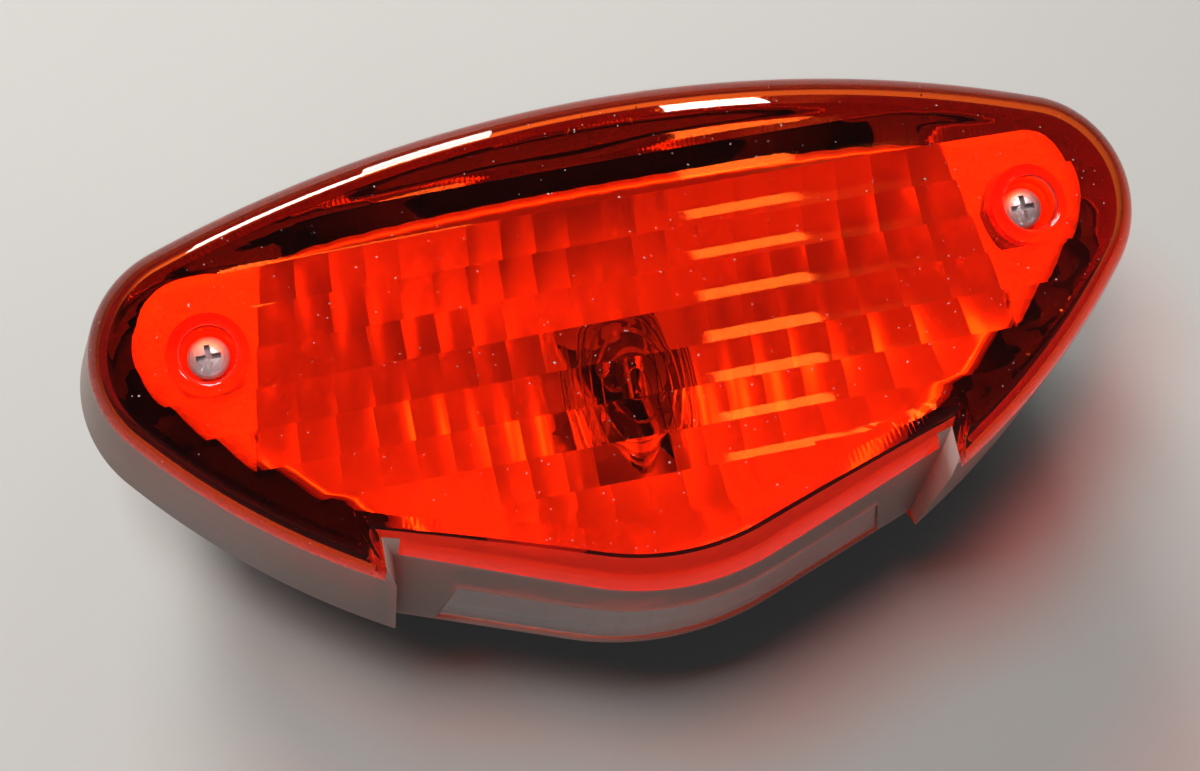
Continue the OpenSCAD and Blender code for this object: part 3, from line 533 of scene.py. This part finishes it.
def make_reflector():
    ring = reflector_ring()
    xs_low = DISH_X + DISH_FAN
    corner = np.interp(xs_low, *flank_line(ring)) + CORNER_RAISE

    def low(x):
        return -REF_DROP + LOW_RAISE + (corner + REF_DROP - LOW_RAISE) * (abs(x) / xs_low) ** LOW_CURVE

    def depth(u, w):
        if abs(u) >= 1 or abs(w) >= 1:
            return 0.0
        return DISH_DEPTH * (1 - abs(u) ** DISH_CURVE_X) * (1 - abs(w) ** DISH_CURVE_Y)

    side = -BULB[0]
    steps, w_steps = 8, 40
    nu = COLUMNS * steps
    ws = [-1.0 + 2.0 * k / w_steps for k in range(w_steps + 1)]
    b = Builder()
    lines = []
    for i in range(nu + 1):
        u = 2 * i / nu - 1
        t = (i % steps) / steps
        scallop = SCALLOP * (2 * t - 1) ** 2 if 0 < i < nu else SCALLOP
        line = []
        for w in ws:
            xt, xb = DISH_X * u - side * (1 - u * u), xs_low * u - side * (1 - u * u)
            v = (w + 1) / 2
            d = depth(u, w)
            line.append((xb + (xt - xb) * v, low(xb) + (ref_top(xt) - low(xb)) * v,
                         DISH_TOP - d + scallop * min(1.0, d / SCALLOP_FADE)))
        lines.append(np.array(line))
    hole_r = GLASS_R + GLASS_ROOM
    grid = [b.add(r) for r in lines]
    for i in range(nu):
        for j in range(len(ws) - 1):
            quad = (grid[i][j], grid[i + 1][j], grid[i + 1][j + 1], grid[i][j + 1])
            mid = (lines[i][j] + lines[i + 1][j + 1]) / 2
            if math.hypot(mid[0] - BULB[0], mid[1] - BULB[1]) > hole_r:
                b.faces.append(quad)
                b.slots.append(0)
    # Lands at the two ends, down to the same outline as the dish's sides
    for s in (-1, 1):
        edge = lines[-1 if s > 0 else 0]
        keep = [p for p in ring if s * p[0] > DISH_X - 2]
        keep = [p for p in keep if s * p[0] > np.interp(p[1], edge[:, 1], s * edge[:, 0])]
        keep.sort(key=lambda p: math.atan2(p[1] - LAND_MID[1], s * (p[0] - s * LAND_MID[0])))
        loop = np.array([tuple(p) for p in edge[:, :2]][::-1] + keep)
        hole = well_circle(s, SHANK_HOLE_R, 48)
        spots = grid_spots(loop, [hole], LAND_XS, LAND_YS, PATCH_GAP)
        points, tris = patch(loop, [hole], spots)
        b.fan(tris, b.add(np.column_stack([points, np.full(len(points), DISH_TOP)])), 1)
    obj = b.mesh("reflector_shell", sharp=24)
    solid = obj.modifiers.new("thick", "SOLIDIFY")
    solid.thickness = (REF_T - SHEET_SPARE) * MM
    solid.offset = -1
    bake(obj)
    return obj


def reflector_ring():
    """The reflector's outline without its lower edge, from the middle of the top to both sides."""
    hw, ty, tr, er = REF_HW, REF_HIGH, REF_TOP_R, REF_END_R
    fr = FLANK_R - REF_FLANK_IN
    a1 = math.degrees(math.asin((hw - er) / (tr - er)))
    c2 = (hw - er, ty - tr + (tr - er) * math.cos(deg(a1)))
    c3 = (c2[0] - (fr - er) * math.cos(deg(END_TURN)), c2[1] + (fr - er) * math.sin(deg(END_TURN)))
    stop = math.degrees(math.acos((NOTCH_X - c3[0]) / fr))
    half = circle_points((0, ty - tr), tr, 90, 90 - a1, 48)
    half += circle_points(c2, er, 90 - a1, 0, 40) + circle_points(c2, er, 0, -END_TURN, 20)
    half += circle_points(c3, fr, -END_TURN, -stop, 24, closed=True)
    return half + [(-x, y) for x, y in half[1:]][::-1]


def flank_line(ring):
    pts = sorted([(x, y) for x, y in ring if x > 0 and y < 0])
    return [p[0] for p in pts], [p[1] for p in pts]


# Spring under the contact plate: round wire, four turns
WIRE_D, COILS, PRESS = 0.9, 4, 2.0
spring_low, spring_high = cad_mm("contact_spring")


def make_spring():
    """The coil at its full length; the spring shortens when the bulb is pressed home, which is not drawn here."""
    steps, sides = 64, 14
    mean_r = (spring_high[0] - spring_low[0] - WIRE_D) / 2
    mid = (spring_low + spring_high) / 2
    climb = spring_high[2] - spring_low[2] - WIRE_D
    b = Builder()
    turn = 2 * math.pi * np.arange(sides) / sides
    rings = []
    for k in range(COILS * steps + 1):
        a, q = 2 * math.pi * k / steps, mean_r + WIRE_D / 2 * np.cos(turn)
        z = spring_low[2] + WIRE_D / 2 + climb * k / (COILS * steps) + WIRE_D / 2 * np.sin(turn)
        rings.append(b.add(np.column_stack([mid[0] + q * math.cos(a), mid[1] + q * math.sin(a), z])))
    for one, two in zip(rings, rings[1:]):
        b.strip(one, two)
    b.caps(rings[0], rings[-1])
    return b.mesh("spring_coil", sharp=40)


# Materials
class Nodes:
    """A material whose shader and texture nodes are joined by short calls."""

    def __init__(self, name):
        self.material = bpy.data.materials.new(name)
        self.material.use_nodes = True
        self.tree = self.material.node_tree
        self.tree.nodes.clear()
        self.out = self.node("ShaderNodeOutputMaterial")

    def node(self, kind, inputs=None, **settings):
        made = self.tree.nodes.new(kind)
        for key, value in settings.items():
            setattr(made, key, value)
        for key, value in (inputs or {}).items():
            socket = made.inputs[key]
            if isinstance(value, bpy.types.NodeSocket):
                self.tree.links.new(value, socket)
            else:
                socket.default_value = value
        return made

    def noise(self, scale, detail=3.0, rough=0.6, stretch=(1, 1, 1)):
        coords = self.node("ShaderNodeTexCoord")
        scaled = self.node("ShaderNodeMapping", {"Vector": coords.outputs["Object"], "Scale": stretch})
        return self.node("ShaderNodeTexNoise", {"Vector": scaled.outputs[0], "Scale": scale, "Detail": detail,
                                                "Roughness": rough}).outputs["Fac"]

    def ramp(self, fac, stops):
        made = self.node("ShaderNodeValToRGB", {"Fac": fac})
        elements = made.color_ramp.elements
        while len(elements) < len(stops):
            elements.new(0.5)
        for element, (pos, color) in zip(elements, stops):
            element.position = pos
            element.color = tuple(color) + ((1.0,) if len(color) == 3 else ())
        return made.outputs["Color"]

    def spread(self, fac, low, high):
        return self.node("ShaderNodeMapRange", {"Value": fac, "To Min": low, "To Max": high}).outputs["Result"]

    def bump(self, height, strength, distance):
        return self.node("ShaderNodeBump", {"Height": height, "Strength": strength, "Distance": distance}).outputs[0]

    def finish(self, shader):
        self.tree.links.new(shader, self.out.inputs["Surface"])
        return self.material


def plain(name, color, rough, metal=0.0, grain=900.0, vary=0.12, bump=0.15, depth=0.0002, rough_vary=0.08, **more):
    """An opaque finish with colour drift, uneven gloss and a fine grain."""
    n = Nodes(name)
    drift = n.noise(60.0, 4.0)
    dark = tuple(c * (1 - vary) for c in color)
    light = tuple(min(1.0, c * (1 + vary)) for c in color)
    tint = n.ramp(drift, [(0.3, dark), (0.7, light)])
    fine = n.noise(grain, 2.0)
    inputs = {"Base Color": tint, "Metallic": metal,
              "Roughness": n.spread(drift, max(0.02, rough - rough_vary), min(1.0, rough + rough_vary)),
              "Normal": n.bump(fine, bump, depth)}
    inputs.update(more)
    shader = n.node("ShaderNodeBsdfPrincipled", inputs)
    return n.finish(shader.outputs["BSDF"])


# Light that a red moulding scatters, the haze of a satin skin, and lint; specks show above DUST_FROM of the noise
GLOW, HAZE, LINT = (1.0, 0.09, 0.045, 1.0), (0.44, 0.375, 0.345, 1.0), (0.42, 0.30, 0.27, 1.0)
DUST_FROM, DUST_FULL = 0.765, 0.79


def clear(name, color, rough, shadow, ior=1.49, grain=None, rough_vary=0.0, body=0.0, dust=False, veil=0.0,
          glow=0.0):
    """A clear moulding: refraction for the eye, a tinted see-through for shadow rays."""
    n = Nodes(name)
    smudge = n.noise(35.0, 5.0, 0.65)
    inputs = {"Base Color": tuple(color) + (1.0,), "IOR": ior, "Transmission Weight": 1.0 - body,
              "Roughness": n.spread(smudge, max(0.0, rough - rough_vary), rough + rough_vary)}
    if grain:
        inputs["Normal"] = n.bump(n.noise(grain, 3.0), 0.25, 0.0001)
    surface = n.node("ShaderNodeBsdfPrincipled", inputs).outputs["BSDF"]
    if glow:
        lit = n.node("ShaderNodeBsdfTranslucent", {"Color": GLOW})
        surface = n.node("ShaderNodeMixShader", {0: glow, 1: surface, 2: lit.outputs[0]}).outputs[0]
    if veil:
        haze = n.node("ShaderNodeBsdfDiffuse", {"Color": HAZE})
        surface = n.node("ShaderNodeMixShader", {0: veil, 1: surface, 2: haze.outputs[0]}).outputs[0]
    if dust:
        speck = n.ramp(n.noise(1300.0, 1.0), [(DUST_FROM, (0, 0, 0)), (DUST_FULL, (1, 1, 1))])
        lint = n.node("ShaderNodeBsdfDiffuse", {"Color": LINT})
        surface = n.node("ShaderNodeMixShader", {0: speck, 1: surface, 2: lint.outputs[0]}).outputs[0]
    through = n.node("ShaderNodeBsdfTransparent", {"Color": tuple(shadow) + (1.0,)})
    path = n.node("ShaderNodeLightPath")
    mixed = n.node("ShaderNodeMixShader", {0: path.outputs["Is Shadow Ray"], 1: surface, 2: through.outputs[0]})
    return n.finish(mixed.outputs[0])


RED = (0.93, 0.11, 0.01)
RED_SHADOW = (0.97, 0.36, 0.16)
materials = {
    "front": clear("lens_front_gloss", RED, 0.012, RED_SHADOW, rough_vary=0.01, dust=True),
    "chin": clear("lens_chin_gloss", (0.80, 0.05, 0.025), 0.04, RED_SHADOW, rough_vary=0.02, body=0.3, glow=0.34),
    "rib": clear("lens_rib_gloss", RED, 0.03, RED_SHADOW, rough_vary=0.02, glow=0.03),
    "skirt": clear("lens_skirt_satin", (0.13, 0.055, 0.045), 0.36, RED_SHADOW, grain=1500.0, rough_vary=0.08,
                   veil=0.55),
    "inner": clear("lens_inner_gloss", RED, 0.035, RED_SHADOW, rough_vary=0.02),
    "window": clear("window_clear", (0.93, 0.86, 0.86), 0.12, (0.93, 0.86, 0.86), rough_vary=0.06),
    "glass": clear("bulb_glass_clear", (0.98, 0.98, 0.98), 0.0, (0.97, 0.97, 0.97), ior=1.47),
    "silver": plain("reflector_silver", (0.84, 0.84, 0.85), 0.30, 0.8, grain=500.0, vary=0.03, bump=0.05,
                    rough_vary=0.05),
    "land": plain("reflector_land", (0.80, 0.80, 0.81), 0.5, 0.1, grain=900.0, vary=0.08, bump=0.5, depth=0.0004),
    "screw": plain("screw_zinc", (0.50, 0.53, 0.58), 0.42, 0.7, grain=900.0, vary=0.25, bump=0.4),
    "rubber": plain("seal_rubber", (0.02, 0.02, 0.02), 0.7),
    "tray": plain("tray_black", (0.010, 0.010, 0.011), 0.5, grain=1400.0, vary=0.3, bump=0.45, rough_vary=0.12),
    "brass": plain("brass", (0.80, 0.58, 0.26), 0.28, 1.0, vary=0.15),
    "steel": plain("plated_steel", (0.66, 0.66, 0.64), 0.32, 1.0, vary=0.12),
    "laminate": plain("laminate", (0.20, 0.11, 0.05), 0.5, vary=0.25),
    "vitrite": plain("black_glass", (0.012, 0.012, 0.016), 0.12),
    "solder": plain("solder", (0.55, 0.55, 0.56), 0.38, 1.0, vary=0.2),
    "wire": plain("lamp_wire", (0.42, 0.42, 0.44), 0.4, 1.0),
}
finishes = {
    "lens_screws": "screw", "lens_seal": "rubber", "tray": "tray", "fixing_spacers": "tray",
    "threaded_inserts": "brass",
    "reflector": "silver", "holder_shell": "steel", "holder_rivets": "steel", "holder_back": "laminate",
    "terminals": "brass", "earth_plate": "steel", "contact_spring": "steel", "contact_plate": "laminate",
    "contact_tips": "brass", "bulb_cap": "brass", "bulb_pins": "brass", "bulb_insulator": "vitrite",
    "bulb_contacts": "solder", "bulb_glass": "glass", "bulb_stem": "glass", "bulb_leads": "wire",
    "stop_filament": "wire", "tail_filament": "wire", "plate_window": "window", "lens": "front",
}
for node, finish in finishes.items():
    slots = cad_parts[node].data.materials
    slots.clear()
    slots.append(materials[finish])


def dress(obj, body, node, names):
    for name in names:
        obj.data.materials.append(materials[name])
    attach(obj, body)
    if node:
        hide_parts(node)
    return obj


lens_cover = make_lens()
dress(lens_cover, "cover", "lens", ["skirt", "front", "inner", "chin", "rib"])
reflector_shell = make_reflector()
dress(reflector_shell, "tray_body", "reflector", ["silver", "land"])
spring_coil = make_spring()
dress(spring_coil, "tray_body", "contact_spring", ["steel"])
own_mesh(spring_coil)

# Camera at the photograph's angle: (lean left, lean down) of the view and its roll, from the photograph's outline
VIEW_X, VIEW_Y, VIEW_ROLL = -8.0, -5.5, -11.5
PHOTO_W, FOCAL_PX = 1200, 2700.0
CAMERA_SPOT = (-76.52, -59.76, LENS_H + 472.56)


def place_camera():
    sx, sy = math.sin(deg(VIEW_X)), math.sin(deg(VIEW_Y))
    back = np.array([sx, sy, math.sqrt(1 - sx * sx - sy * sy)])
    up = np.array([0, 1, 0]) - back[1] * back
    up /= np.linalg.norm(up)
    right = np.cross(up, back)
    c, s = math.cos(deg(VIEW_ROLL)), math.sin(deg(VIEW_ROLL))
    right, up = c * right + s * up, -s * right + c * up
    camera = bpy.data.cameras.new("camera")
    camera.sensor_fit = "HORIZONTAL"
    camera.sensor_width = 36.0
    camera.lens = 36.0 * FOCAL_PX / PHOTO_W
    camera.clip_end = 20.0
    holder = bpy.data.objects.new("camera", camera)
    bpy.context.scene.collection.objects.link(holder)
    turn = Matrix([list(right) + [0], list(up) + [0], list(back) + [0], [0, 0, 0, 1]]).transposed()
    turn.translation = Vector(CAMERA_SPOT) * MM
    holder.matrix_world = turn
    bpy.context.scene.camera = holder


# Lamps, in metres. The fluted front mirrors what stands up to about 44 degrees back from the upright, towards +Y.
# The key and window lamps stand beyond that and the flare lamp within it, so that only the flare lamp makes flares.
LAMP_AIM = (0.0, 0.0, 0.08)
WARM, WARMER = (1.0, 0.985, 0.96), (1.0, 0.97, 0.92)


def soft_lamp(name, place, size, power, color, mirrored=True, lit=True):
    """An area lamp aimed at the cover, with level sides. Unless mirrored, it doesn't show in gloss or through
    glass; unless lit, it lights no matt surface."""
    lamp = bpy.data.lights.new(name, "AREA")
    lamp.shape = "RECTANGLE"
    lamp.size, lamp.size_y = size
    lamp.energy = power
    lamp.color = color
    obj = bpy.data.objects.new(name, lamp)
    bpy.context.scene.collection.objects.link(obj)
    back = (Vector(place) - Vector(LAMP_AIM)).normalized()
    side = (Vector((1.0, 0.0, 0.0)) - back * back.x).normalized()
    turn = Matrix([list(side) + [0], list(back.cross(side)) + [0], list(back) + [0], [0, 0, 0, 1]]).transposed()
    turn.translation = Vector(place)
    obj.matrix_world = turn
    obj.visible_glossy = obj.visible_transmission = mirrored
    obj.visible_diffuse = lit
    return obj


def make_floor():
    n = Nodes("floor_paper")
    tint = n.ramp(n.noise(3.0, 3.0), [(0.3, (0.425, 0.415, 0.40)), (0.7, (0.445, 0.435, 0.42))])
    shader = n.node("ShaderNodeBsdfPrincipled", {"Base Color": tint, "Roughness": 0.75})
    mesh = bpy.data.meshes.new("floor")
    half = 2.5
    mesh.from_pydata([(-half, -half, 0), (half, -half, 0), (half, half, 0), (-half, half, 0)], [], [(0, 1, 2, 3)])
    floor = bpy.data.objects.new("floor", mesh)
    bpy.context.scene.collection.objects.link(floor)
    mesh.materials.append(n.finish(shader.outputs["BSDF"]))
    floor.location.z = cad_box[0][2]


def make_world():
    """A dim room: darker overhead, where the front of the cover would mirror it, and lighter all round."""
    world = bpy.data.worlds.new("studio")
    bpy.context.scene.world = world
    world.use_nodes = True
    tree = world.node_tree
    coords = tree.nodes.new("ShaderNodeTexCoord")
    split = tree.nodes.new("ShaderNodeSeparateXYZ")
    ramp = tree.nodes.new("ShaderNodeValToRGB")
    tree.links.new(coords.outputs["Generated"], split.inputs[0])
    tree.links.new(split.outputs["Z"], ramp.inputs["Fac"])
    tree.links.new(ramp.outputs["Color"], tree.nodes["Background"].inputs["Color"])
    low, high = ramp.color_ramp.elements
    low.position, low.color = 0.55, (0.10, 0.102, 0.107, 1.0)
    high.position, high.color = 0.90, (0.04, 0.04, 0.042, 1.0)
    tree.nodes["Background"].inputs["Strength"].default_value = 1.0


place_camera()
make_floor()
make_world()
soft_lamp("key_light", (-0.36, 0.96, 0.84), (0.30, 0.26), 9.0, WARM)
soft_lamp("window_light", (-0.10, 1.07, 0.66), (0.22, 0.60), 9.0, WARM)
soft_lamp("flare_light", (0.33, 0.56, 1.02), (0.14, 0.36), 8.0, WARMER, lit=False)
soft_lamp("overhead_light", (-0.30, 0.36, 1.20), (0.40, 0.40), 13.0, WARM, mirrored=False)
bpy.context.scene.view_settings.view_transform = "Standard"
